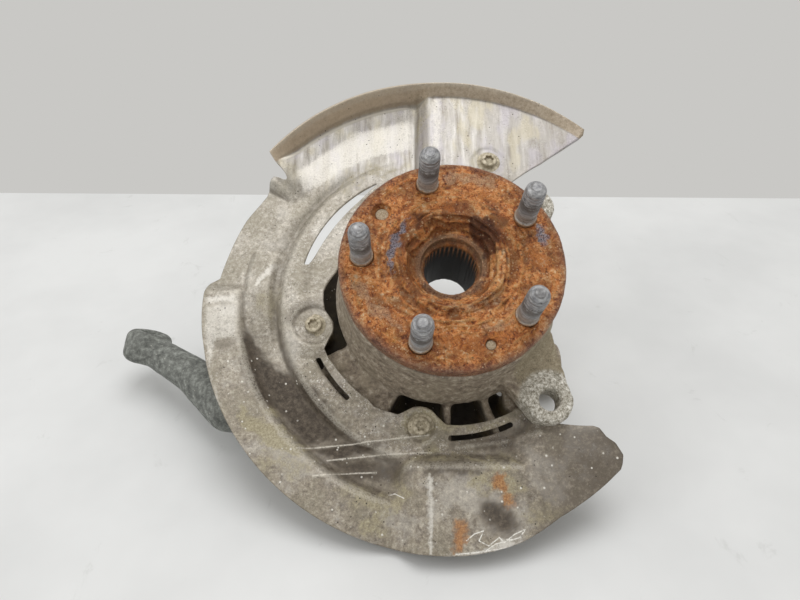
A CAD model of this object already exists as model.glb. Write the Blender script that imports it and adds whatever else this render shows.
"""Looks of a steering knuckle with its wheel hub and pressed dust shield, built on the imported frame.

Shapes are worked out in the hub's own directions, in millimetres: u across, v up the flange and
w outboard along the hub axis, from the centre of the flange's wheel face. placed() turns them
into the frame's metres.
"""

from functools import partial

import bpy
import numpy as np
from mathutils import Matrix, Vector


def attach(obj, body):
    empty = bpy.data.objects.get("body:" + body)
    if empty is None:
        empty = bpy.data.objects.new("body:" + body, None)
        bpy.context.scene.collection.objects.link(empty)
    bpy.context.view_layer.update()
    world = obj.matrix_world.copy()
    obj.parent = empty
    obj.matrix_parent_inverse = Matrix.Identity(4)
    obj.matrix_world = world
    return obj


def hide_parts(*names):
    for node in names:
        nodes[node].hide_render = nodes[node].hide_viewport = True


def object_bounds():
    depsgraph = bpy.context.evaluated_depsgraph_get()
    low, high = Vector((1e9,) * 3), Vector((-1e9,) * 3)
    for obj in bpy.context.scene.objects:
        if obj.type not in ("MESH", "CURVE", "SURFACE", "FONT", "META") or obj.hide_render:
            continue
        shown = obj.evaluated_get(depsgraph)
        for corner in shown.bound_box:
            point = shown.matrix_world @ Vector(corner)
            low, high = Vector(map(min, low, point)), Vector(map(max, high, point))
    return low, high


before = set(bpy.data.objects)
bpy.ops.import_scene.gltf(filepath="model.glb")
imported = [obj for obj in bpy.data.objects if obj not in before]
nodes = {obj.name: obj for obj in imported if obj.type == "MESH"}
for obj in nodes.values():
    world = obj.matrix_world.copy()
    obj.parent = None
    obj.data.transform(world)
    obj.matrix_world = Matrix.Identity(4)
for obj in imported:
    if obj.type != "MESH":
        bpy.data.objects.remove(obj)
cad_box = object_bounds()

LEAN = np.radians(34.0)  # hub axis from the vertical
ACROSS = np.array([1.0, 0.0, 0.0])
UP = np.array([0.0, np.cos(LEAN), np.sin(LEAN)])
OUTBOARD = np.array([0.0, -np.sin(LEAN), np.cos(LEAN)])

# Places shared by several pieces.
SCREWS = (  # u, v and level of each screw's seat, then the radius and depth of its sink in the sheet
    (-98.0, -24.0, -66.0, 16.5, 1.7),
    (-19.0, -98.0, -66.0, 12.0, 1.3),
    (36.0, 109.0, -50.0, 14.5, 0.7),
)
EARS = ((68, -83), (68, 67))  # the casting's two caliper ears
STUD_CIRCLE, FIRST_STUD, STUDS = 60, 105.1, 5  # radius, turn of the first stud in degrees, number
TEETH = 36  # of the hub's internal spline


def placed(u, v, w):
    """Hub directions in millimetres to the frame's metres, for arrays of any one shape."""
    u, v, w = np.broadcast_arrays(u, v, w)
    return (u[..., None] * ACROSS + v[..., None] * UP + w[..., None] * OUTBOARD) / 1000.0


def ease(x, low, high):
    """Smooth step: 0 below low, 1 above high, 3t^2 - 2t^3 between."""
    t = np.clip((x - low) / (high - low), 0.0, 1.0)
    return t * t * (3.0 - 2.0 * t)


def along(x, *table):
    """A value read off a table of (x, value) pairs by straight lines."""
    xs, ys = zip(*table)
    return np.interp(x, xs, ys)


def bump_at(distance, width):
    """A round ridge of height 1 where distance is 0, exp(-(d / width)^2)."""
    return np.exp(-((distance / width) ** 2))


def mottle(u, v, size, seed, octaves=4):
    """Fractal value noise from 0 to 1: random values on a lattice of this size, joined by smooth
    steps, plus the same at half the size and weight for each further octave."""
    grid = np.random.default_rng(seed).random((128, 128))
    total, weight = 0.0, 0.0
    for octave in range(octaves):
        x = u / size * 2**octave + 17.3 * octave
        y = v / size * 2**octave + 9.1 * octave
        i, j = np.floor(x).astype(int) % 128, np.floor(y).astype(int) % 128
        s, t = ease(x % 1.0, 0, 1), ease(y % 1.0, 0, 1)
        k, l = (i + 1) % 128, (j + 1) % 128
        near = grid[i, j] * (1 - s) + grid[k, j] * s
        far = grid[i, l] * (1 - s) + grid[k, l] * s
        total = total + (near * (1 - t) + far * t) / 2**octave
        weight += 1 / 2**octave
    return total / weight


def segment_distance(u, v, points):
    """Distance in a plane to a line of straight pieces, the least of the pieces'."""
    least = np.full(np.shape(u), 1e9)
    for (a, b), (c, d) in zip(points, points[1:]):
        t = np.clip(((u - a) * (c - a) + (v - b) * (d - b)) / ((c - a) ** 2 + (d - b) ** 2), 0, 1)
        least = np.minimum(least, np.hypot(u - a - t * (c - a), v - b - t * (d - b)))
    return least


def outline_distance(u, v, corners):
    """Signed distance to a closed outline, negative inside: the least distance to its sides, with
    the sign from an odd count of sides crossed on the way out."""
    corners = tuple(corners)
    inside = np.zeros(np.shape(u), bool)
    for (a, b), (c, d) in zip(corners, corners[1:] + corners[:1]):
        crossed = ((b > v) != (d > v)) & (u < (c - a) * (v - b) / (d - b + 1e-9) + a)
        inside ^= crossed
    least = segment_distance(u, v, corners + corners[:1])
    return np.where(inside, -least, least)


def stained(u, v, stains, soft, drift):
    """Strength from 0 to 1 of a list of (strength, outline) stains. A noise first moves each place
    by about drift millimetres, so that the outlines wander, and their edges are soft."""
    x = u + 6 * drift * (mottle(u, v, 2.4 * drift, 31) - 0.5)
    y = v + 6 * drift * (mottle(u, v, 2.4 * drift, 32) - 0.5)
    total = np.zeros(np.shape(u))
    for strength, corners in stains:
        total = np.maximum(total, strength * (1 - ease(outline_distance(x, y, corners), -soft, soft)))
    return total


def hub_places(mesh):
    """Hub directions in millimetres of each corner of a mesh."""
    corners = np.empty(len(mesh.vertices) * 3, np.float32)
    mesh.vertices.foreach_get("co", corners)
    corners = corners.reshape(-1, 3) * 1000.0
    return corners @ ACROSS, corners @ UP, corners @ OUTBOARD


def mark(mesh, **values):
    """Stores numbers from 0 to 1 on the mesh's corners, for its material."""
    for name, numbers in values.items():
        layer = mesh.attributes.new(name, "FLOAT", "POINT")
        layer.data.foreach_set("value", np.ravel(numbers).astype(np.float32))


def surface(name, points, loop_columns=False, keep=None):
    """A quad surface through a grid of points, rows by columns; keep drops the faces marked False."""
    rows, columns = points.shape[:2]
    index = np.arange(rows * columns).reshape(rows, columns)
    if loop_columns:
        index = np.hstack([index, index[:, :1]])
    quads = np.stack([index[:-1, :-1], index[:-1, 1:], index[1:, 1:], index[1:, :-1]], -1)
    if keep is not None:
        quads = quads[keep]
    return shell(name, points.reshape(-1, 3), quads.reshape(-1, 4))


def shell(name, corners, quads):
    """A smooth-shaded mesh object at the origin from corner places and quads of corner numbers."""
    mesh = bpy.data.meshes.new(name)
    mesh.vertices.add(len(corners))
    mesh.vertices.foreach_set("co", np.asarray(corners, np.float32).ravel())
    mesh.loops.add(quads.size)
    mesh.loops.foreach_set("vertex_index", quads.ravel().astype(np.int32))
    mesh.polygons.add(len(quads))
    mesh.polygons.foreach_set("loop_start", np.arange(0, quads.size, 4, dtype=np.int32))
    mesh.polygons.foreach_set("use_smooth", np.ones(len(quads), bool))
    mesh.update()
    mesh.validate()
    piece = bpy.data.objects.new(name, mesh)
    bpy.context.scene.collection.objects.link(piece)
    return piece


# ---- camera ------------------------------------------------------------------------------------
eye = bpy.data.cameras.new("eye")
eye.lens = 27.0
eye.sensor_width = 36.0
camera = bpy.data.objects.new("camera", eye)
bpy.context.scene.collection.objects.link(camera)
camera.location = (-0.036499, -0.337953, 0.205592)
camera.rotation_euler = np.radians((54.901366, -0.463979, -0.057804))
bpy.context.scene.camera = camera
bpy.context.scene.view_settings.view_transform = "Standard"


# ---- colours and nodes -------------------------------------------------------------------------
MAIN_SETTING = {  # what the second word of a node's kind sets
    "Attribute": "attribute_name",
    "MapRange": "interpolation_type",
    "Math": "operation",
    "Mix": "data_type",
    "VectorMath": "operation",
    "VectorRotate": "rotation_type",
}
STEP = "MapRange SMOOTHSTEP"  # a smooth step of a value, from 0 at one number to 1 at another


def tint(hex_colour):
    """An sRGB hex colour such as A8623A, turned to linear RGBA."""
    parts = [int(hex_colour[i : i + 2], 16) / 255 for i in (0, 2, 4)]
    return tuple(c / 12.92 if c <= 0.04045 else ((c + 0.055) / 1.055) ** 2.4 for c in parts) + (1.0,)


def add_node(tree, kind, *values, stops=None, **named):
    """Adds a node. A second word of its kind, as in Math MULTIPLY, is its main setting. Values go to
    its sockets in order, or by name. Each is a number, a hex colour, a socket, or a node, which is
    linked from its factor or else from its first output in use. Stops are a colour ramp's, as
    {position: hex colour}."""
    kind, _, setting = kind.partition(" ")
    made = tree.nodes.new("ShaderNode" + kind)
    if setting:
        setattr(made, MAIN_SETTING[kind], setting)
    in_use = [socket for socket in made.inputs if socket.enabled][: len(values)]
    pairs = [*zip(in_use, values, strict=True), *((made.inputs[name], value) for name, value in named.items())]
    for socket, value in pairs:
        if isinstance(value, bpy.types.Node):
            value = value.outputs.get("Fac") or next(output for output in value.outputs if output.enabled)
        if isinstance(value, bpy.types.NodeSocket):
            tree.links.new(value, socket)
        else:
            socket.default_value = tint(value) if isinstance(value, str) else value
    if stops:
        elements = made.color_ramp.elements
        while len(elements) < len(stops):
            elements.new(1.0)
        for element, (position, colour) in zip(elements, stops.items()):
            element.position = position
            element.color = tint(colour)
    return made


def start(name):
    """A new material, the function that adds its nodes, and hub directions in millimetres."""
    material = bpy.data.materials.new(name)
    material.use_nodes = True
    material.node_tree.nodes.clear()
    add = partial(add_node, material.node_tree)
    turned = add("VectorRotate X_AXIS", add("TexCoord").outputs["Object"], Angle=-LEAN)
    return material, add, add("VectorMath SCALE", turned, Scale=1000.0)


def finished(material, add, colour, rough, metal, *layers):
    """Gives the material its shader, with bumps of (height, depth in millimetres), one on another."""
    normal = {}
    for height, depth in layers:
        normal = {"Normal": add("Bump", Height=height, Distance=depth / 1000, **normal)}
    shader = add("BsdfPrincipled", colour, Roughness=rough, Metallic=metal, **normal)
    add("OutputMaterial", Surface=shader)
    return material


def lay(add, under, over, strength, *shares):
    """Lays a colour over another, at a strength times each of the shares."""
    for share in shares:
        strength = share if strength == 1 else add("Math MULTIPLY", share, strength)
    return add("Mix RGBA", strength, under, over)


def dots(add, here, size, radius, seed):
    """1 inside round dots of this radius, scattered about one to a cell of this size, 0 between."""
    moved = add("VectorMath ADD", here, (seed, seed * 2, seed * 3))
    cells = add("TexVoronoi", moved, Scale=1 / size)
    return add(STEP, cells, radius * 1.3 / size, radius * 0.7 / size)


def ragged(add, name, grain, low, high, depth):
    """A stain that mark() stored, broken up by a noise, stain x (1 + depth x (noise - 0.5)), then
    hardened by a smooth step from low to high."""
    share = add("Math MULTIPLY_ADD", grain, depth, 1 - 0.5 * depth)
    return add(STEP, add("Math MULTIPLY", add(f"Attribute {name}"), share), low, high)


def strokes(add, here, width, *lines):
    """1 on thin lines through (u, v) points, 0 off them: the least distance to their pieces."""
    flat = add("VectorMath MULTIPLY", here, (1, 1, 0))
    least = 1e3
    for line in lines:
        for (a, b), (c, d) in zip(line, line[1:]):
            span = (c - a) ** 2 + (d - b) ** 2
            off = add("VectorMath SUBTRACT", flat, (a, b, 0))
            share = add("VectorMath DOT_PRODUCT", off, ((c - a) / span, (d - b) / span, 0))
            foot = add("VectorMath SCALE", (c - a, d - b, 0), Scale=add("Clamp", share))
            least = add("Math MINIMUM", least, add("VectorMath DISTANCE", off, foot))
    return add(STEP, least, width, 0.4 * width)


# ---- dust shield: one pressed sheet --------------------------------------------------------------
SHEET = 1.5  # thickness
FLAT = -66.0  # front of the flat ring
LIP_FOOT = 171.8  # radius of the crease that the lip turns up from
# The sheet's free ends, as turn at a radius, and its edges and lip, as radius and height at a turn.
SHIELD_START = (
    (89, 64), (95, 62), (104, 59.8), (112, 58.2), (133, 54.2), (153, 51.7), (171, 50.0), (177, 49.7), (181, 50.4),
)
SHIELD_END = (
    (97, 306.9), (102, 306.6), (114, 305.4), (121, 306.6), (126.5, 309.2), (139, 314.7),
    (143, 315.5), (150, 315.0), (157, 315.4), (165.5, 314.5), (169, 312.8), (172, 310.5),
)
SHIELD_INNER = (
    (58, 89), (140, 89), (160, 84.8), (167, 85.3), (172, 88.8), (177.5, 92), (182.5, 92), (187.6, 90.8),
    (191, 88.2), (194, 86.4), (197, 86.8), (200, 89.2), (203, 94.5), (205, 98.6), (209.7, 99), (214, 98),
    (235, 97.2), (238, 99), (245, 97), (249, 96.2), (251.5, 92), (254, 88), (257, 86.4), (260, 86.2),
    (263, 88), (266, 92.5), (269, 96.6), (275, 97.4), (294, 98.4), (300, 98.2), (316, 98.2),
)
SHIELD_OUTER = (
    (48, 181), (140.2, 181), (140.7, 174), (141.0, 168), (141.3, 162.5), (141.8, 159.4), (142.4, 158.8),
    (142.9, 160.6), (143.3, 164.5), (143.8, 167.6), (145.5, 168), (147.6, 166.4), (149, 165.2), (152, 165.6),
    (158, 168.2), (164, 169.2), (169.4, 170.1), (173, 171.2), (175.7, 172), (176.6, 176), (177.4, 178.6),
    (178.6, 180), (180.4, 180.9), (184, 181.3), (264, 181.5), (272.5, 181.2), (279, 180), (284.6, 178.4),
    (290.1, 175), (294, 172.6), (299.7, 171.6), (305.9, 170.6), (316, 170.2),
)
LIP_TOP = (
    (48.8, -48), (56, -45.5), (63, -43.2), (72, -41.6), (84, -40.6), (110, -40.2), (126, -42), (134, -44),
    (140.5, -46),
)
SLOTS = ((208.6, 227.4), (270.9, 294.4))  # turns of the ends of the two long slots
SLOT_CIRCLE, SLOT_HALF = 106, 1.9  # radius of the slots' middle line, and half their width
CRESCENT = ((118, 0), (128, 4.6), (138, 6.0), (150, 6.4), (160, 5.6), (165, 4.4), (168, 1.5))  # its width at a turn

# Lines on the sheet, through (u, v) points.
FOLDS = (
    ((-104, -113.6), (-62, -109.5), (-14, -104)),
    ((-84, -121), (-50, -117.5), (-12, -116)),
    ((-92, -132), (-66, -129.5), (-50, -129)),
)
PANEL_CORNER = ((-14, -131), (-13, -157), (-14, -181))
SCRATCHES = (
    (
        (9, -172), (14, -168), (20, -166), (17, -172), (23, -175), (30, -170), (33, -173), (40, -168), (47, -165),
        (43, -170), (36, -172),
    ),
    ((2, -180), (14, -179), (29, -177), (38, -175)),
    ((21, -178), (27, -174), (38, -171)),
    ((-31, -146), (-37, -143), (-41, -144)),
)

# Stains of the sheet: strength and outline in (u, v).
GRIME = (
    (1.0, (
        (-151, -31), (-146, -55), (-134, -80), (-119, -89), (-106, -105), (-98, -110), (-79, -107),
        (-66, -104), (-74, -99), (-82, -89), (-94, -73), (-109, -64), (-117, -59), (-127, -56), (-138, -43),
        (-148, -28),
    )),
    (0.9, ((-94, -113), (-78, -123), (-65, -118), (-47, -111), (-63, -107), (-79, -108))),
    (0.7, ((-86, -121), (-72, -133), (-59, -134), (-46, -125), (-33, -123), (-49, -119), (-70, -119))),
    (0.6, (
        (-80, -120), (-68, -119), (-37, -120), (-23, -128), (-34, -136), (-47, -137), (-65, -132),
        (-73, -128),
    )),
    (0.6, (
        (0, -110), (14, -107), (48, -97), (57, -88), (64, -93), (49, -109), (44, -117), (13, -112),
        (3, -114),
    )),
    (0.8, ((16, -149), (24, -146), (34, -149), (40, -156), (44, -164), (36, -170), (26, -166), (19, -158))),
    (0.9, ((-16, -127), (-1, -126), (11, -128), (23, -127), (15, -131), (2, -130), (-14, -130))),
    (0.5, ((-169, -38), (-162, -37), (-154, -38), (-159, -44), (-167, -43))),
    (0.6, (
        (-118, -21), (-114, -12), (-106, -6), (-93, -5), (-91, -9), (-103, -10), (-111, -16), (-115, -24),
    )),
    (0.6, (
        (-127, -5), (-124, -23), (-118, -41), (-108, -60), (-103, -65), (-108, -67), (-117, -53),
        (-125, -35), (-128, -14),
    )),
    (0.4, ((-54, -128), (-30, -126), (-22, -126), (-29, -136), (-34, -141), (-41, -139))),
)
BRIGHT = (
    (1.0, ((-144, 7), (-140, 15), (-133, 23), (-128, 26), (-131, 21), (-138, 12), (-142, 7))),
    (0.8, ((-179, -4), (-157, -2), (-157, -7), (-170, -7), (-177, -9))),
    (0.7, ((-16, -133), (-12, -133), (-13, -180), (-15, -180))),
    (0.8, (
        (-8, -182), (18, -180), (43, -174), (45, -170), (41, -174), (31, -170), (29, -175), (18, -178),
        (4, -180),
    )),
    (0.5, ((-8, 171), (-1, 171), (-2, 122), (-9, 122))),
    (0.6, (
        (-120, 106), (-98, 126), (-72, 146), (-48, 153), (-26, 160), (-26, 131), (-55, 124), (-81, 111),
        (-102, 94), (-112, 89),
    )),
    (0.5, (
        (-178, -11), (-156, -9), (-153, -34), (-168, -37), (-170, -60), (-158, -86), (-162, -85),
        (-172, -55), (-177, -32),
    )),
)
DUST = (
    (0.9, (
        (-141, -85), (-124, -87), (-113, -95), (-104, -108), (-94, -113), (-98, -119), (-122, -119),
        (-139, -105),
    )),
    (0.5, ((-145, 0), (-136, 6), (-127, 13), (-124, -6), (-127, -24), (-137, -15))),
    (1.0, ((-14, -123), (5, -123), (29, -122), (43, -122), (42, -128), (20, -128), (4, -126), (-14, -127))),
    (0.9, ((10, -132), (28, -130), (42, -134), (51, -136), (45, -145), (32, -141), (17, -140), (12, -139))),
    (0.7, (
        (-27, -87), (-16, -84), (-5, -95), (43, -91), (38, -97), (0, -106), (-9, -110), (-25, -106),
        (-29, -97),
    )),
    (0.8, (
        (-37, -136), (-31, -128), (-23, -116), (-8, -110), (-6, -114), (-17, -123), (-27, -133), (-34, -153),
        (-41, -154), (-42, -138),
    )),
    (0.7, ((-24, 157), (-12, 164), (-16, 143), (-22, 134))),
    (0.6, ((-96, 82), (-80, 101), (-55, 114), (-29, 117), (-40, 106), (-62, 101), (-80, 89))),
    (0.6, ((-73, -133), (-47, -140), (-37, -146), (-38, -171), (-53, -168), (-69, -154), (-80, -146))),
    (0.6, ((41, -153), (63, -146), (82, -151), (62, -165), (46, -170))),
    (0.5, ((-143, -116), (-122, -119), (-93, -119), (-85, -126), (-103, -135), (-123, -135))),
)
RUST = (
    (1.0, ((32, -131), (35, -131), (36, -139), (34, -142), (29, -139), (27, -134))),
    (0.7, ((34, -142), (40, -144), (42, -151), (37, -152), (32, -147))),
    (0.8, ((3, -161), (9, -161), (10, -168), (5, -177), (1, -179), (2, -168))),
)


def shield_front(u, v):
    """Height w of the sheet's front over (u, v): the flat ring, plus each pressed form as a
    product of smooth steps in radius r and turn a, or in u and v where its edges are straight."""
    r = np.hypot(u, v)
    a = np.degrees(np.arctan2(v, u)) % 360
    w = np.full(r.shape, FLAT)
    # bead round the flat ring
    w += 2.4 * (ease(r, 100, 113) - ease(r, 120, 125.5)) * ease(a, 100, 122) * (1 - ease(a, 222, 238))
    # channel between the bead and the rim, and its shallow start on the left
    w -= 6.0 * (ease(r, 122, 129) - ease(r, 146, 156)) * ease(a, 178, 196) * (1 - ease(a, 251, 259))
    w -= 2.2 * bump_at(r - 128, 3.6) * ease(a, 112, 135) * (1 - ease(a, 184, 196))
    w += 2.6 * (ease(r, 131, 135.5) - ease(r, 148, 153)) * ease(a, 164.5, 169.5) * (1 - ease(a, 190, 200))
    w += 1.6 * bump_at(r - 140, 6) * ease(a, 146, 153) * (1 - ease(a, 160, 166))
    # rim of the left and lower side, which starts in a step
    w += 5.0 * ease(r, 150, 157) * ease(a, 176.6, 180.3) * (1 - ease(a, 246, 262))
    w -= 1.1 * bump_at(np.hypot(u + 170, v + 43), 8)
    # raised lower right panel, its left slope, and the beads above it
    lower = ease(-v, 116.5, 127.5)
    right = ease((u - 47) * 0.72 + (-v - 101) * 0.55, 0, 19)
    w += 12.0 * np.maximum(lower * ease(u, -39, -17), right * ease(-v, 60, 90))
    w += 1.3 * bump_at(segment_distance(u, v, ((6, -112.5), (40, -108.5), (62, -103))), 2.2)
    w += 1.2 * bump_at(segment_distance(u, v, ((-12, -105), (-22, -119), (-34, -133))), 3.4)
    for fold in FOLDS:
        w += 0.9 * bump_at(segment_distance(u, v, fold), 1.5)
    # raised upper right panel and its slope
    upper = ease(u, -22.5, -9.5) * ease(v, 60, 88)
    w += 16.0 * upper
    # upper left: the panel's gentle rise, the strip below the lip, the corner above the notch
    rise = 2.0 * ease(r, 128, 156) + 3.6 * ease(r, 156, 171)
    w += rise * ease(a, 88, 100) * (1 - ease(a, 141, 144.4)) * (1 - upper)
    w += 9.0 * ease(r, 138, 166) * ease(a, 133, 142.4) * (1 - ease(a, 144.6, 147.2))
    # lip of the upper side, which turns outboard up to its own edge
    climb = ease(r, 171.0, 181.6) * 0.35 + np.clip((r - 172.5) / 8.5, 0, 1) * 0.65
    climb = climb * (1 - ease(a, 140.6, 141.6)) * ease(a, 46, 47)
    w += (along(a, *LIP_TOP) - w) * climb
    w += 0.9 * bump_at(r - 172.0, 1.2) * (1 - ease(a, 139.0, 141.0)) * ease(a, 98, 102)
    # the three screws stand in round sinks, whose walls fall steeply from a wide soft swelling
    for across, up, _, size, depth in SCREWS:
        gap = np.hypot(u - across, v - up)
        w += depth * ease(gap, size - 2.5, size) * (1 - ease(gap, size, size + 11))
    # slow warps and small dents
    w += 1.2 * (mottle(u, v, 60, 5, 2) - 0.5) + 0.35 * (mottle(u, v, 14, 8, 2) - 0.5)
    return w


def opening(a):
    """Inner and outer edge of the sheet's openings at each turn, and whether one is there: slots
    of half width sqrt(h^2 - s^2), where h is a slot's own half width and s is how far the turn is
    past its end, and a crescent whose outer edge is an arc."""
    low = along(a, (58, 108.8), (118, 109.6), (174, 109.6), (200, 105.2), (308, 105.2))
    high = along(a, (58, 110.6), (174, 110.6), (200, 106.8), (308, 106.8))
    width = sum(along(a + shift, *CRESCENT) for shift in (-2.4, -1.2, 0, 1.2, 2.4)) / 5
    there = (a > 119) & (a < 167.0)
    low = np.where(there, 110.6 - width, low)
    for start, end in SLOTS:
        past = np.maximum(0, np.maximum(start - a, a - end)) * np.radians(SLOT_CIRCLE)
        half = np.sqrt(np.clip(SLOT_HALF**2 - past**2, 0, None))
        beside = past < SLOT_HALF + 0.05
        low, high = np.where(beside, SLOT_CIRCLE - half, low), np.where(beside, SLOT_CIRCLE + half, high)
        there |= past < SLOT_HALF - 0.02
    return low, high, there


def spaced(stations):
    """Evenly spaced numbers between (number, count to the next) stations, up to the last one."""
    parts = []
    for (low, count), (high, _) in zip(stations[:-2], stations[1:]):
        parts.append(np.linspace(low, high, count, endpoint=False))
    (low, count), (high, _) = stations[-2:]
    return np.concatenate([*parts, np.linspace(low, high, count)])


def dust_shield():
    """The shield's front over a grid of turn and radius. Each row's ends follow the sheet's two
    free ends, columns follow the edges of the openings, and rows crowd at the slots' round ends.
    Solidify gives the wall."""
    round_end = np.array([0, 0.35, 0.65, 0.85, 0.96, 1.027])  # rows past a slot's end, in degrees
    rows = ((56, 30), (70, 132), (139.6, 50), (148.4, 54), (175.6, 20), (181.4, 206), (300, 24), (307, 0))
    slot_rows = [np.concatenate([low - round_end, high + round_end]) for low, high in SLOTS]
    turn = np.sort(np.concatenate([spaced(rows), *slot_rows]))
    share = spaced(((0, 14), (1, 3), (2, 32), (2.55, 12), (2.8, 22), (3, 0)))
    turn, share = np.meshgrid(turn, share, indexing="ij")
    near, far, _ = opening(turn)
    stops = (along(turn, *SHIELD_INNER), near, far, along(turn, *SHIELD_OUTER))
    r = stops[0]
    for number, (low, high) in enumerate(zip(stops, stops[1:])):
        r = r + (high - low) * np.clip(share - number, 0, 1)
    # rows before 70 degrees and after 300 are stretched to reach the free ends
    first = 70 + (turn - 70) / 14 * (70 - along(r, *SHIELD_START))
    last = 300 + (turn - 300) / 7 * (along(r, *SHIELD_END) - 300)
    place = np.where(turn < 70, first, np.where(turn > 300, last, turn))
    u, v = r * np.cos(np.radians(place)), r * np.sin(np.radians(place))
    middle = (turn[:-1, :-1] + turn[1:, :-1]) / 2
    between = (share[:-1, :-1] > 0.99) & (share[:-1, :-1] < 1.99)
    keep = ~(between & opening(middle)[2])
    w = shield_front(u, v)
    piece = surface("shield_sheet", placed(u, v, w)[::-1], keep=keep[::-1])
    # ridges stand above the mean of what lies 3 mm around them, and wear bright
    ridge = w - sum(shield_front(u + x, v + y) for x, y in ((3, 0), (-3, 0), (0, 3), (0, -3))) / 4
    r, a = np.hypot(u, v), np.degrees(np.arctan2(v, u)) % 360
    marks = {
        "grime": stained(u, v, GRIME, 7.0, 1.3),
        "bright": stained(u, v, BRIGHT, 2.5, 0.7),
        "dust": stained(u, v, DUST, 9.0, 4.0),
        "rust": stained(u, v, RUST, 4.5, 1.0),
        "crease": bump_at(r - LIP_FOOT, 1.3) * ease(a, 98, 101) * (1 - ease(a, 138, 140)),
        "ring": (1 - ease(r, 118, 124)) * ease(a, 110, 130),
        "ridge": np.clip(0.5 + 0.6 * ridge, 0, 1),
    }
    mark(piece.data, **{name: numbers[::-1] for name, numbers in marks.items()})
    wall = piece.modifiers.new("wall", "SOLIDIFY")
    wall.thickness = SHEET / 1000
    wall.offset = -1.0
    return piece


shield = dust_shield()


# ---- casting and hub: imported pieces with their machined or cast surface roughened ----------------
def remade(name, node, voxel, melt):
    """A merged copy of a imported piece, rebuilt on a voxel grid and smoothed, so that its inside
    corners fill and its edges round."""
    piece = bpy.data.objects.new(name, nodes[node].data.copy())
    bpy.context.scene.collection.objects.link(piece)
    join = piece.modifiers.new("join", "WELD")
    join.merge_threshold = 0.00002
    voxels = piece.modifiers.new("voxels", "REMESH")
    voxels.mode = "VOXEL"
    voxels.voxel_size = voxel / 1000
    voxels.use_smooth_shade = True
    smooth = piece.modifiers.new("melt", "SMOOTH")
    smooth.factor = 0.5
    smooth.iterations = melt
    shape = bpy.data.meshes.new_from_object(piece.evaluated_get(bpy.context.evaluated_depsgraph_get()))
    piece.modifiers.clear()
    piece.data = shape
    shape.name = name
    return piece


def push(mesh, heights):
    """Moves each corner along its normal by this many millimetres."""
    corners = np.empty(len(mesh.vertices) * 3, np.float32)
    normals = np.empty(len(mesh.vertices) * 3, np.float32)
    mesh.vertices.foreach_get("co", corners)
    mesh.vertex_normals.foreach_get("vector", normals)
    mesh.vertices.foreach_set("co", corners + normals * np.repeat(heights / 1000, 3).astype(np.float32))
    mesh.update()


body = remade("casting", "knuckle", 2.0, 4)
u, v, w = hub_places(body.data)
r = np.hypot(u, v)
from_ear = np.minimum(*(np.hypot(u - across, v - up) for across, up in EARS))
push(body.data, 0.6 * (mottle(u + 0.7 * w, v + 0.5 * w, 5, 3, 3) - 0.9) * ease(r, 47, 50))
mark(
    body.data,
    ear=(1 - ease(from_ear, 19, 23)) * ease(w, -66, -58),
    flank=(1 - ease(np.hypot(u - 60, v + 45), 24, 36)) * ease(u, 38, 52),
    arm=1 - ease(u, -112, -96),
    deep=ease(w, -108, -104) * (1 - ease(w, -99, -93)) * ease(r, 60, 70) * (1 - ease(r, 108, 116)),
    pocket=ease(w, -112, -106) * (1 - ease(w, -82, -66)) * (1 - ease(r, 118, 130)) * ease(-v, -60, -20),
)

hub = remade("hub_iron", "wheel_hub", 1.0, 1)
STEEL = (
    (1.0, (
        (-29, 32), (-33, 27), (-37, 23), (-40, 15), (-43, 5), (-42, -5), (-38, -12), (-39, -2), (-37, 8),
        (-35, 17), (-31, 23),
    )),
    (0.7, ((57, 28), (63, 28), (66, 21), (65, 12), (60, 12), (57, 18))),
)
SOOT = (
    (1.0, ((15, 27), (20, 32), (27, 30), (33, 22), (31, 15), (23, 7), (19, 15), (15, 21))),
    (0.7, ((-28, 36), (-19, 37), (-21, 27), (-26, 19), (-28, 24))),
    (0.6, ((21, 46), (32, 40), (36, 27), (37, 15), (32, 7), (29, 22), (24, 35))),
)
FRESH = (
    (1.0, ((-34, 5), (-30, 5), (-29, -6), (-32, -7), (-35, -1))),
    (1.0, ((22, -15), (25, -14), (26, -16), (23, -18))),
    (0.8, ((14, 53), (22, 54), (31, 49), (29, 45), (20, 47))),
    (0.8, ((-16, 40), (-3, 44), (7, 43), (-3, 39), (-12, 36))),
    (0.7, ((-12, -53), (15, -50), (42, -47), (34, -54), (10, -62), (-10, -61))),
    (0.7, ((50, 11), (58, 11), (66, 4), (64, -8), (57, -6), (51, 1))),
    (0.6, ((-53, -9), (-48, -14), (-45, -26), (-35, -39), (-41, -40), (-52, -25))),
)
CRUST = (
    (0.9, ((-66, -9), (-56, -16), (-49, -30), (-35, -43), (-32, -47), (-44, -43), (-58, -32), (-65, -21))),
    (0.8, ((-7, 67), (9, 69), (30, 65), (36, 58), (27, 55), (9, 58), (-5, 58))),
    (0.8, ((16, -44), (22, -43), (39, -40), (37, -43), (24, -49), (16, -48))),
    (0.7, (
        (-19, -19), (-11, -28), (2, -34), (17, -31), (28, -23), (33, -16), (35, -18), (28, -29), (14, -36),
        (0, -37), (-15, -30),
    )),
    (0.6, ((-52, 29), (-47, 28), (-48, 25), (-53, 26))),
)
RINGS = (  # radius and height of each turned ridge
    (24.0, 1.0), (27.0, 1.6), (30.5, 1.8), (34.0, 1.7), (37.5, 1.5), (43.5, 1.5), (47.0, 0.8), (52.0, 0.7),
    (67.0, 1.0),
)
u, v, w = hub_places(hub.data)
r = np.hypot(u, v)
crust = stained(u, v, CRUST, 3.0, 2.0)
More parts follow.
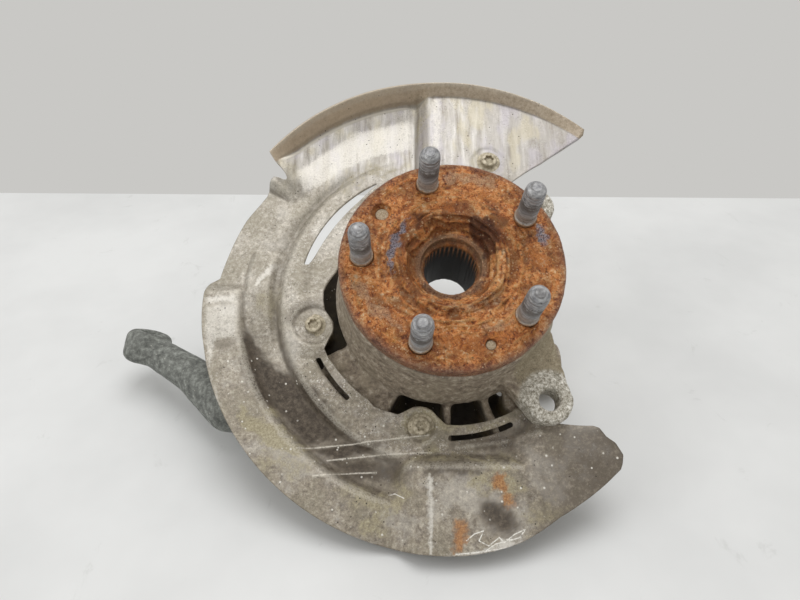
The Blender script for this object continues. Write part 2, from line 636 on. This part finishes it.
# scale flakes in six rounded steps, and turned ridges that wander and break off
flakes = np.clip(0.5 + 2.2 * (mottle(u, v, 10, 11, 5) - 0.5), 0, 1)
steps = (np.floor(flakes * 6) + ease(flakes * 6 % 1.0, 0.75, 1.0)) / 6
wander = 5 * (mottle(u, v, 16, 41, 3) - 0.5)
rings = sum(
    height * bump_at(r - radius - wander, 0.8) * ease(mottle(u, v, 21, 50 + number, 2), 0.36, 0.5)
    for number, (radius, height) in enumerate(RINGS)
)
front = ease(w, -14, -11) * ease(r, 21.5, 23.0)
bowl = 1 - ease(r, 38, 46)
# all of them together, deeper in the bowl, with its own sinking, a grain, and the crust's grain
pits = (1.0 + 1.3 * bowl) * (steps - 0.5) + rings - 0.5 * bowl
pits += (0.5 + 0.5 * bowl) * (mottle(u + w, v - w, 2.8, 12, 2) - 0.5)
pits += 0.5 * crust * mottle(u, v, 3, 14, 2)
push(hub.data, front * pits * (1 - 0.7 * ease(r, 71.0, 72.2)) - 0.25 * ease(w, -3, -1) * ease(r, 20, 22))
mark(
    hub.data,
    steel=stained(u, v, STEEL, 2.5, 1.5),
    soot=stained(u, v, SOOT, 4.0, 3.0),
    fresh=stained(u, v, FRESH, 3.0, 2.5),
    crust=crust,
    pit=ease(pits, 0.35, -0.7),
    crest=ease(pits, 0.4, 1.3),
    bore=(1 - ease(r, 20.4, 21.6)) * ease(-w, 14.5, 19),
    collar=(1 - ease(r, 23.0, 25.0)) * ease(w, -15, -13),
    rim=ease(r, 70.0, 72.0) * ease(-w, -1.0, 1.0),
)


def splined_sleeve():
    """The bore's internal spline, radius 18.1 + 1.1 s, where s is a rounded square wave of 36
    teeth; its upper ends run out into a bevel."""
    turn = np.linspace(0, 2 * np.pi, TEETH * 12, endpoint=False)
    w = np.array([-13.9, -14.2, -14.8, -15.6, -16.6, -18, -21, -26, -34, -44, -54, -62])[:, None]
    wave = ease(np.cos(TEETH * turn), 0.45, -0.35)
    runout = ease(w, -16.5, -14.1)
    radius = 18.1 + 1.1 * wave + (1.9 - 0.9 * wave) * runout
    points = placed(radius * np.cos(turn), radius * np.sin(turn), w * np.ones_like(turn))
    sleeve = surface("axle_spline_teeth", points, loop_columns=True)
    deep = ease(w, -19.0, -30.0) * np.ones_like(turn)
    mark(sleeve.data, bore=deep, crest=(1 - wave) * (1 - deep), pit=wave * np.ones_like(w))
    return sleeve


spline = splined_sleeve()


def lathe(name, across, up, profile, lobes=0.0, turns=72, thread=None):
    """A surface of revolution about an axis parallel to the hub's: profile is (w, radius) pairs,
    finely spaced. A thread lowers the radius by depth x saw((w / pitch) + turn); lobes draws
    rows marked in the profile's third column into a six-lobed star."""
    profile = np.array(profile, float)
    turn = np.linspace(0, 2 * np.pi, turns, endpoint=False)
    w, radius = profile[:, :1], profile[:, 1:2] * np.ones(turns)
    if profile.shape[1] > 2:
        radius = radius * (1 + lobes * profile[:, 2:3] * np.cos(6 * turn))
    if thread:
        pitch, depth, low, high = thread
        phase = (w / pitch + turn / (2 * np.pi)) % 1.0
        groove = depth * ease(np.abs(phase - 0.5) * 2, 0.25, 0.9)
        radius = radius - groove * ease(w, low, low + 1.5) * (1 - ease(w, high - 1.5, high))
    points = placed(across + radius * np.cos(turn), up + radius * np.sin(turn), w * np.ones(turns))
    return surface(name, points, loop_columns=True)


def filled(profile, step):
    """Adds points to a profile so that none are more than step apart."""
    profile = np.array(profile, float)
    parts = []
    for near, far in zip(profile, profile[1:]):
        count = max(1, int(np.ceil(np.hypot(*(far - near)[:2]) / step)))
        parts.append(near + (far - near) * np.linspace(0, 1, count, endpoint=False)[:, None])
    return np.vstack(parts + [profile[-1:]])


STUD_PROFILE = (  # head, serrated part, collar, thread, and a point with a ring crease and a flat end
    (-17.5, 0.01), (-17.5, 8.7), (-16.7, 9.5), (-13.1, 9.5), (-13.1, 7.4), (-0.2, 7.4), (0.0, 7.75), (1.9, 7.75),
    (2.5, 7.2), (3.2, 6.65), (3.8, 6.9), (31.4, 6.9), (31.9, 6.35), (32.5, 6.75), (34.6, 6.6), (36.2, 5.6),
    (37.2, 4.1), (37.55, 3.3), (37.6, 3.1), (37.95, 2.9), (37.98, 0.01),
)
SCREW_PROFILE = (  # shank, flange, head, and a socket, whose rows are drawn into a star
    (-13.5, 0.01, 0), (-13.5, 3.0, 0), (-0.05, 3.0, 0), (0.05, 9.0, 0), (0.3, 9.35, 0), (1.1, 9.35, 0),
    (1.6, 8.9, 0), (1.75, 7.1, 0), (2.1, 6.3, 0), (5.0, 6.2, 0), (5.5, 5.9, 0), (5.8, 5.2, 0), (5.8, 3.6, 1),
    (5.4, 3.3, 1), (3.3, 3.2, 1), (3.2, 0.01, 1),
)
STUD_THREAD = (1.5, 0.3, 10.0, 31.0)  # pitch, depth, and the levels that it runs between
PLUGS = (  # name, radius and turn of its place, its own radius, and the level of its top
    ("locator_fill", 59.0, 142.5, 4.6, -3.6),
    ("jack_fill", 61.5, -68.0, 3.4, -2.0),
)

studs = []
for number in range(STUDS):
    turn = np.radians(FIRST_STUD + 360 / STUDS * number)
    across, up = STUD_CIRCLE * np.cos(turn), STUD_CIRCLE * np.sin(turn)
    studs.append(lathe(f"stud_{number + 1}", across, up, filled(STUD_PROFILE, 0.24), thread=STUD_THREAD))

screws = []
for number, (across, up, level, *_) in enumerate(SCREWS, 1):
    profile = filled(SCREW_PROFILE, 0.35) + np.array([level, 0, 0])
    screws.append(lathe(f"screw_{number}", across, up, profile, lobes=0.14, turns=72))

fills = []
for name, radius, degrees, size, level in PLUGS:
    turn = np.radians(degrees)
    crown = [(level - 3, 0.01), (level - 3, size), (level - 0.5, size), (level, size - 0.5), (level + 0.25, 0.01)]
    fills.append(lathe(name, radius * np.cos(turn), radius * np.sin(turn), filled(crown, 0.4), turns=48))


# ---- materials ---------------------------------------------------------------------------------
# Noise sizes are in millimetres, as 1 / Scale. Each surface's finest grain is really a few tenths
# of a millimetre, and is drawn at about 1 mm so that it shows.


def wear(material, *pieces):
    """Puts one material on pieces in place of whatever they have."""
    for piece in pieces:
        piece.data.materials.clear()
        piece.data.materials.append(material)


def pressed_sheet():
    """Pressed aluminium sheet, left outdoors: dull grey metal with a broad soft sheen, washed pale
    above and rubbed pale on its ridges, under grime, dust, rusty run-off and scratches."""
    material, add, here = start("pressed_aluminium_sheet")
    across, up = add("SeparateXYZ", here).outputs[:2]
    fine = add("TexNoise", here, Scale=1 / 1.3, Detail=5, Roughness=0.8)
    grain = add("TexNoise", here, Scale=1 / 3.4, Detail=8, Roughness=0.8)
    wide = add("TexNoise", here, Scale=1 / 34, Detail=4, Roughness=0.6)
    colour = add("ValToRGB", grain, stops={0.36: "857E73", 0.45: "A39C90", 0.53: "B4ADA1", 0.62: "D3CDC2"})
    browner = add("ValToRGB", grain, stops={0.37: "665B4E", 0.47: "877C6E", 0.55: "9C917F", 0.64: "C0B6A3"})
    colour = lay(add, colour, browner, 0.72, add(STEP, up, 10, -120))
    colour = lay(add, colour, "8F8876", 0.45, add(STEP, wide, 0.45, 0.62))
    colour = lay(add, colour, "D9D5CE", 0.3, add(STEP, wide, 0.5, 0.36))

    # upper panels: washed bright, with soft runs down them, and lilac and buff tints
    high_side = add(STEP, up, 78, 116)
    drawn_down = add("VectorMath DIVIDE", here, (4.5, 40.5, 18))
    runs = add("TexNoise", drawn_down, Scale=1, Detail=5, Roughness=0.65, Distortion=0.3)
    washed = add("ValToRGB", runs, stops={0.34: "9B938A", 0.45: "BCB7B0", 0.54: "CFCBC6", 0.66: "E6E3DF"})
    colour = lay(add, colour, washed, 0.75, high_side)
    colour = lay(add, colour, "948E89", 0.5, add(STEP, across, -5, 75), high_side)
    drawn_down = add("VectorMath DIVIDE", here, (15, 37.5, 30))
    tinted = add("TexNoise", drawn_down, Scale=1, Detail=3, Roughness=0.5)
    colour = lay(add, colour, "B9B4C2", 0.4, high_side, add(STEP, tinted, 0.5, 0.64))
    colour = lay(add, colour, "C9BF9F", 0.4, high_side, add(STEP, tinted, 0.47, 0.36))

    # bright and dark flecks, most of them bright on the flat ring
    patches = add("TexNoise", here, Scale=1 / 10, Detail=3, Roughness=0.6)
    flecks = add(STEP, fine, 0.53, 0.63), add(STEP, patches, 0.42, 0.6)
    colour = lay(add, colour, "F0EDE7", 1, *flecks, add("Math MULTIPLY_ADD", add("Attribute ring"), 0.55, 0.25))
    patches = add("TexNoise", here, Scale=1 / 13, Detail=3, Roughness=0.6)
    flecks = add(STEP, fine, 0.46, 0.38), add(STEP, patches, 0.45, 0.6)
    colour = lay(add, colour, "6B6358", 0.5, *flecks)

    # the lip is stained an even brown, paler on the left, and its foot is rubbed to a bright line
    radius = add("VectorMath LENGTH", add("VectorMath MULTIPLY", here, (1, 1, 0)))
    beyond_foot = add(STEP, radius, LIP_FOOT, LIP_FOOT + 1.4)
    lip = add("Math MULTIPLY", beyond_foot, add(STEP, up, 60, 90))
    brown = add("ValToRGB", grain, stops={0.34: "978773", 0.5: "B3A38D", 0.66: "CBBDA8"})
    colour = lay(add, colour, brown, 0.9, lip)
    colour = lay(add, colour, "D9C6AE", 0.4, lip, add(STEP, across, 10, -60))
    colour = lay(add, colour, "EFE9DC", 1, add("Attribute crease"))

    # stains, each broken up by the grain; grime also darkens the horn at the lower right
    dust = ragged(add, "dust", grain, 0.25, 0.75, 2.6)
    dusty = add("ValToRGB", fine, stops={0.36: "8A8066", 0.5: "A99F82", 0.64: "C3BA9E"})
    colour = lay(add, colour, dusty, 0.85, dust)
    soiled = add("Math ADD", grain, add("Math ADD", add("Attribute grime"), -0.5))
    horn = add("Math MULTIPLY", add(STEP, across, 25, 100), 0.8)
    horn = add("Math MULTIPLY", horn, add(STEP, up, -92, -106))
    horn = add("Math MULTIPLY", horn, add(STEP, grain, 0.3, 0.5))
    grime = add("Math MAXIMUM", add(STEP, soiled, 0.05, 0.8), horn)
    dirty = add("ValToRGB", grain, stops={0.36: "332A22", 0.48: "4B4136", 0.62: "6B6053"})
    colour = lay(add, colour, dirty, 0.95, grime)
    rust = ragged(add, "rust", grain, 0.08, 0.65, 3.0)
    rusty = add("ValToRGB", fine, stops={0.36: "85552B", 0.5: "AA7038", 0.64: "C6935A"})
    colour = lay(add, colour, rusty, 0.8, rust)

    # rubbed ridges, shaded hollows, the panel's worn corner, bright stains, folds and scratches
    ridge = add("Attribute ridge")
    rubbed = add(STEP, ridge, 0.6, 0.95), add(STEP, fine, 0.38, 0.55)
    colour = lay(add, colour, "D2CCBF", 0.45, *rubbed)
    colour = lay(add, colour, "5F564B", 0.35, add(STEP, ridge, 0.42, 0.1))
    seam = strokes(add, here, 1.1, PANEL_CORNER)
    colour = lay(add, colour, "DDD8CE", 0.55, seam, add(STEP, grain, 0.36, 0.56))
    colour = lay(add, colour, "E6E2DA", 0.75, ragged(add, "bright", fine, 0.1, 0.75, 2.6))
    folds = strokes(add, here, 0.65, *FOLDS)
    colour = lay(add, colour, "DCD6CA", 1, folds, add(STEP, fine, 0.3, 0.6))
    scratches = strokes(add, here, 0.5, *SCRATCHES)
    colour = lay(add, colour, "F0EDE6", 1, scratches, add(STEP, fine, 0.38, 0.5))

    # pale spatter on the lower side, and dark pits
    patches = add("TexNoise", here, Scale=1 / 14, Detail=3, Roughness=0.6)
    spatter = add("Math MULTIPLY", dots(add, here, 5.5, 0.75, 3.0), add(STEP, patches, 0.5, 0.58))
    spatter = add("Math MULTIPLY", spatter, add(STEP, up, 30, -20))
    colour = lay(add, colour, "E6E2D9", 1, spatter)
    patches = add("TexNoise", here, Scale=1 / 16, Detail=3, Roughness=0.6)
    pits = dots(add, here, 4.2, 0.5, 9.0)
    colour = lay(add, colour, "3C342B", 1, pits, add(STEP, patches, 0.5, 0.6))

    # where it is dirty it is rougher, and less of it is bare metal
    dull = add("Math MAXIMUM", add("Math MAXIMUM", dust, grime), rust)
    rough = add("Math MULTIPLY_ADD", dull, 0.25, add("Math MULTIPLY_ADD", fine, 0.4, 0.22))
    metal = add("Math MULTIPLY_ADD", dull, -0.4, 0.5)
    return finished(material, add, colour, rough, metal, (grain, 0.5), (fine, 0.2), (spatter, 0.2))


def cast_alloy():
    """Sand-cast aluminium alloy: a matt, grainy grey-brown skin with pale specks, paler and rougher
    ears, a greyer arm, and pockets that hold old dirt."""
    material, add, here = start("sand_cast_aluminium")
    fine = add("TexNoise", here, Scale=1 / 1.1, Detail=4, Roughness=0.75)
    grain = add("TexNoise", here, Scale=1 / 4.5, Detail=7, Roughness=0.72)
    wide = add("TexNoise", here, Scale=1 / 26, Detail=3, Roughness=0.6)
    coarse = add("TexNoise", here, Scale=1 / 2.4, Detail=6, Roughness=0.85)
    patches = add("TexNoise", here, Scale=1 / 11, Detail=2, Roughness=0.6)
    colour = add("ValToRGB", grain, stops={0.36: "6A5E50", 0.45: "8C7F70", 0.54: "A29583", 0.64: "C9BEAD"})
    colour = lay(add, colour, "9A8F7C", 0.45, add(STEP, wide, 0.45, 0.65))
    arm = add("ValToRGB", grain, stops={0.36: "555753", 0.5: "767873", 0.64: "9A9D97"})
    colour = lay(add, colour, arm, 1, add("Attribute arm"))
    flank = add("ValToRGB", fine, stops={0.36: "7A6F55", 0.5: "A0957A", 0.64: "BFB498"})
    colour = lay(add, colour, flank, 0.6, ragged(add, "flank", grain, 0.2, 0.75, 3.0))
    ear = add("ValToRGB", coarse, stops={0.38: "6A6454", 0.46: "A09A8C", 0.53: "C6C1B5", 0.61: "F4F1EA"})
    colour = lay(add, colour, ear, 1, add("Attribute ear"))
    pocket = add("ValToRGB", wide, stops={0.38: "2A221B", 0.5: "473B2C", 0.62: "7A6B4A"})
    colour = lay(add, colour, pocket, 1, add("Attribute pocket"), add("Math MULTIPLY_ADD", grain, 0.4, 0.6))
    colour = lay(add, colour, "15100C", 0.8, add("Attribute deep"))
    specks = dots(add, here, 3.6, 0.35, 2.0)
    colour = lay(add, colour, "D8D3CA", 1, specks, add(STEP, patches, 0.46, 0.58))
    rough = add("Math MULTIPLY_ADD", fine, 0.25, 0.5)
    return finished(material, add, colour, rough, 0.2, (grain, 0.7), (fine, 0.35))


def rusted_iron():
    """Forged steel under years of rust: thick uneven scale from purple-brown through orange to buff
    that glistens in places, with pale crust, fresh orange and a few patches of grey metal."""
    material, add, here = start("rusted_forged_steel")
    fine = add("TexNoise", here, Scale=1 / 0.9, Detail=5, Roughness=0.8)
    grain = add("TexNoise", here, Scale=1 / 2.8, Detail=9, Roughness=0.78, Distortion=0.5)
    wide = add("TexNoise", here, Scale=1 / 11, Detail=6, Roughness=0.65, Distortion=0.6)
    mixed = add("Math MULTIPLY_ADD", wide, 0.25, add("Math MULTIPLY", fine, 0.15))
    mixed = add("Math MULTIPLY_ADD", grain, 0.6, mixed)
    scale = {0.38: "4E2210", 0.43: "924A22", 0.465: "C8743A", 0.5: "E8944E", 0.55: "F8B876", 0.6: "FFE8C4"}
    colour = add("ValToRGB", mixed, stops=scale)

    # golden and purple-brown clouds
    clouds = add("TexNoise", here, Scale=1 / 8, Detail=6, Roughness=0.7, Distortion=0.5)
    golden = add("ValToRGB", grain, stops={0.4: "6E3A0E", 0.5: "B87524", 0.6: "E6A850"})
    colour = lay(add, colour, golden, 0.5, add(STEP, clouds, 0.52, 0.62))
    clouds = add("TexNoise", here, Scale=1 / 9, Detail=6, Roughness=0.7, Distortion=0.4)
    purple = add("ValToRGB", grain, stops={0.4: "3E211C", 0.5: "865A4C", 0.6: "C09A88"})
    colour = lay(add, colour, purple, 0.3, add(STEP, clouds, 0.53, 0.63))

    # what mark() stored: hollows and crests, then stains, then the bore's collar and the rim
    steel = ragged(add, "steel", grain, 0.25, 0.8, 4.0)
    for share, strength, pattern, stops in (
        (add("Attribute pit"), 0.6, fine, {0.4: "371A0E", 0.6: "7C4422"}),
        (add("Attribute crest"), 0.55, fine, {0.4: "B07A3E", 0.6: "F2C88C"}),
        (ragged(add, "fresh", grain, 0.25, 0.8, 4.0), 0.6, fine, {0.38: "A4511C", 0.5: "C6702B", 0.62: "E0913F"}),
        (ragged(add, "crust", grain, 0.25, 0.8, 4.0), 0.6, fine, {0.38: "94684A", 0.5: "C29C7A", 0.62: "E8D0B4"}),
        (steel, 0.85, fine, {0.38: "4E4A58", 0.5: "8E8E9C", 0.62: "D0D0DC"}),
        (ragged(add, "soot", grain, 0.2, 0.8, 2.6), 0.85, grain, {0.4: "190C08", 0.6: "6A3416"}),
        (add("Attribute collar"), 0.5, fine, {0.38: "6A5444", 0.5: "97806A", 0.62: "C8B59A"}),
        (add("Attribute rim"), 0.7, grain, {0.38: "5A3C34", 0.5: "8C6656", 0.62: "B8947E"}),
    ):
        colour = lay(add, colour, add("ValToRGB", pattern, stops=stops), strength, share)

    # glints, small holes, and the dark of the bore
    patches = add("TexNoise", here, Scale=1 / 7, Detail=4, Roughness=0.6)
    glints = dots(add, here, 2.3, 0.5, 6.0)
    colour = lay(add, colour, "F6DDB4", 0.6, glints, add(STEP, patches, 0.46, 0.56))
    patches = add("TexNoise", here, Scale=1 / 9, Detail=4, Roughness=0.6)
    holes = dots(add, here, 3.1, 0.7, 13.0)
    colour = lay(add, colour, "3A1C10", 0.65, holes, add(STEP, patches, 0.48, 0.58))
    colour = lay(add, colour, "120D0B", 1, add("Attribute bore"))
    rough = add("Math MULTIPLY_ADD", steel, -0.1, add("Math MULTIPLY_ADD", fine, 0.45, 0.16))
    metal = add("Math MULTIPLY_ADD", steel, 0.4, 0.08)
    return finished(material, add, colour, rough, metal, (wide, 1.0), (grain, 2.2), (fine, 0.9))


def packed_dirt():
    """Road dirt packed into a hole: matt, crumbly and tan."""
    material, add, here = start("packed_road_dirt")
    fine = add("TexNoise", here, Scale=1 / 0.9, Detail=4, Roughness=0.7)
    colour = add("ValToRGB", fine, stops={0.36: "857258", 0.5: "A6947A", 0.64: "BFB19A"})
    return finished(material, add, colour, 0.7, 0.0, (fine, 0.3))


def zinc_stud():
    """Zinc-flake coated steel, rolled thread: a satin light grey, dark where grease is caught in the
    turns, and rust-stained at the foot."""
    material, add, here = start("zinc_coated_steel")
    along_axis = add("SeparateXYZ", here).outputs[2]
    fine = add("TexNoise", here, Scale=1 / 0.9, Detail=4, Roughness=0.75)
    squashed = add("VectorMath DIVIDE", here, (4, 4, 1.8))
    grain = add("TexNoise", squashed, Scale=1, Detail=6, Roughness=0.7)
    flat_turns = add("VectorMath DIVIDE", here, (15, 15, 0.84))
    turns = add("TexNoise", flat_turns, Scale=1, Detail=3, Roughness=0.6)
    patches = add("TexNoise", here, Scale=1 / 6, Detail=2, Roughness=0.6)
    colour = add("ValToRGB", grain, stops={0.36: "77777A", 0.47: "939395", 0.56: "A8A8A9", 0.68: "C6C6C7"})
    # the smears lie at levels above the flange, each level thrown about by the grain
    level = add("Math MULTIPLY_ADD", grain, 22, add("Math ADD", along_axis, -11))
    grease = add("ValToRGB", fine, stops={0.36: "37312C", 0.64: "6E665E"})
    greasy = add(STEP, level, 14, 19), add(STEP, level, 27, 22)
    colour = lay(add, colour, grease, 0.75, *greasy)
    pale = add("ValToRGB", fine, stops={0.36: "8F8A82", 0.64: "C8C4BB"})
    colour = lay(add, colour, pale, 0.6, add(STEP, level, 14, 8))
    colour = lay(add, colour, "4A453F", 0.45, add(STEP, turns, 0.5, 0.4))
    rust = add("ValToRGB", fine, stops={0.36: "8A5A30", 0.5: "A98358", 0.64: "CBB189"})
    foot = add(STEP, add("Math MULTIPLY_ADD", grain, 5, along_axis), 6, 3.4)
    colour = lay(add, colour, rust, 0.85, foot)
    specks = dots(add, here, 2.2, 0.32, 5.0)
    colour = lay(add, colour, "3A322B", 1, specks, add(STEP, patches, 0.46, 0.56))
    rough = add("Math MULTIPLY_ADD", fine, 0.3, 0.36)
    return finished(material, add, colour, rough, 0.3, (grain, 0.25), (fine, 0.12))


def yellow_screw():
    """Yellow-passivated steel screw: thin satin plating, dulled to the tan of the dust on it."""
    material, add, here = start("yellow_passivated_steel")
    fine = add("TexNoise", here, Scale=1 / 0.8, Detail=4, Roughness=0.75)
    grain = add("TexNoise", here, Scale=1 / 3, Detail=5, Roughness=0.6)
    colour = add("ValToRGB", grain, stops={0.38: "978D79", 0.5: "B4AA93", 0.62: "CCC2AD"})
    colour = lay(add, colour, "5C523F", 1, dots(add, here, 2.6, 0.35, 4.0))
    rough = add("Math MULTIPLY_ADD", fine, 0.3, 0.4)
    return finished(material, add, colour, rough, 0.3, (grain, 0.3), (fine, 0.15))


def greased(name, dark, light, rough, metal):
    """A bearing part under a film of old grease, which gives it a patchy, uneven gloss."""
    material, add, here = start(name)
    grain = add("TexNoise", here, Scale=1 / 3, Detail=5, Roughness=0.6)
    fine = add("TexNoise", here, Scale=1 / 0.7, Detail=3, Roughness=0.6)
    colour = add("ValToRGB", grain, stops={0.35: dark, 0.65: light})
    return finished(material, add, colour, add("Math MULTIPLY_ADD", grain, 0.3, rough), metal, (fine, 0.03))


wear(pressed_sheet(), shield)
wear(cast_alloy(), body)
wear(rusted_iron(), hub, spline)
wear(packed_dirt(), *fills)
wear(zinc_stud(), *studs)
wear(yellow_screw(), *screws)
# ground rings and balls are nearly mirrors, rubber is matt, moulded nylon is satin
ground = greased("ground_bearing_steel", "5E5A55", "8F8B86", 0.2, 0.9)
rubber = greased("nitrile_rubber_seal", "1E1C1A", "343029", 0.6, 0.0)
nylon = greased("glass_filled_nylon_cage", "6E664E", "8E8566", 0.45, 0.0)
spring = greased("spring_steel_snap_ring", "3E3A36", "6A6560", 0.35, 0.8)
wear(ground, *(nodes[n] for n in nodes if n.startswith(("bearing_outer", "bearing_inner", "bearing_balls"))))
wear(rubber, nodes["bearing_seal_outboard"], nodes["bearing_seal_inboard"])
wear(nylon, nodes["bearing_cage_outboard"], nodes["bearing_cage_inboard"])
wear(spring, nodes["bearing_snap_ring"])

# ---- floor, air and light ----------------------------------------------------------------------
FLOOR_HALF = 2.5
TABLE_END = 0.433  # far edge of the table top, behind which the air shows
low, high = cad_box
floor_level = low[2] - 0.0003
floor_rows = [[[x, y, floor_level] for x in (-FLOOR_HALF, FLOOR_HALF)] for y in (-FLOOR_HALF, TABLE_END)]
floor = surface("floor", np.array(floor_rows))


def painted_table():
    """White painted table top: a smooth satin coat with faint scuffs."""
    material, add, here = start("painted_table")
    wide = add("TexNoise", here, Scale=1 / 180, Detail=4, Roughness=0.6)
    long_marks = add("VectorMath DIVIDE", here, (30, 150, 30))
    scuffs = add("TexNoise", long_marks, Scale=1, Detail=6, Roughness=0.7, Distortion=0.8)
    colour = add("ValToRGB", wide, stops={0.35: "D9DADA", 0.65: "E3E4E4"})
    colour = lay(add, colour, "BFC0BE", 0.35, add(STEP, scuffs, 0.62, 0.72))
    return finished(material, add, colour, 0.45, 0.0)


wear(painted_table(), floor)

world = bpy.data.worlds.new("air")
bpy.context.scene.world = world
world.use_nodes = True
world.node_tree.nodes["Background"].inputs["Color"].default_value = tint("C9C8C5")
world.node_tree.nodes["Background"].inputs["Strength"].default_value = 1.0


def lamp(name, place, target, size, power):
    """A square area lamp that faces a point; size in metres, power in watts."""
    light = bpy.data.lights.new(name, "AREA")
    light.size = size
    light.energy = power
    made = bpy.data.objects.new(name, light)
    made.location = place
    made.rotation_euler = (Vector(target) - Vector(place)).to_track_quat("-Z", "Y").to_euler()
    bpy.context.scene.collection.objects.link(made)


lamp("ceiling_panel", (0.1, 0.25, 1.6), (0.0, 0.05, 0.0), 1.2, 14)
lamp("window_side", (-1.4, -0.4, 1.1), (0.0, 0.0, 0.0), 1.0, 6)

# ---- what rides on what ------------------------------------------------------------------------
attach(shield, "knuckle")
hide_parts("dust_shield")
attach(body, "knuckle")
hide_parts("knuckle")
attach(hub, "hub")
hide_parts("wheel_hub")
for piece in (spline, *fills):
    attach(piece, "hub")
for number, stud in enumerate(studs, 1):
    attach(stud, "hub")
    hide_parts(f"wheel_stud_{number}")
for number, screw in enumerate(screws, 1):
    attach(screw, "knuckle")
    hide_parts(f"shield_screw_{number}")

bpy.context.view_layer.update()
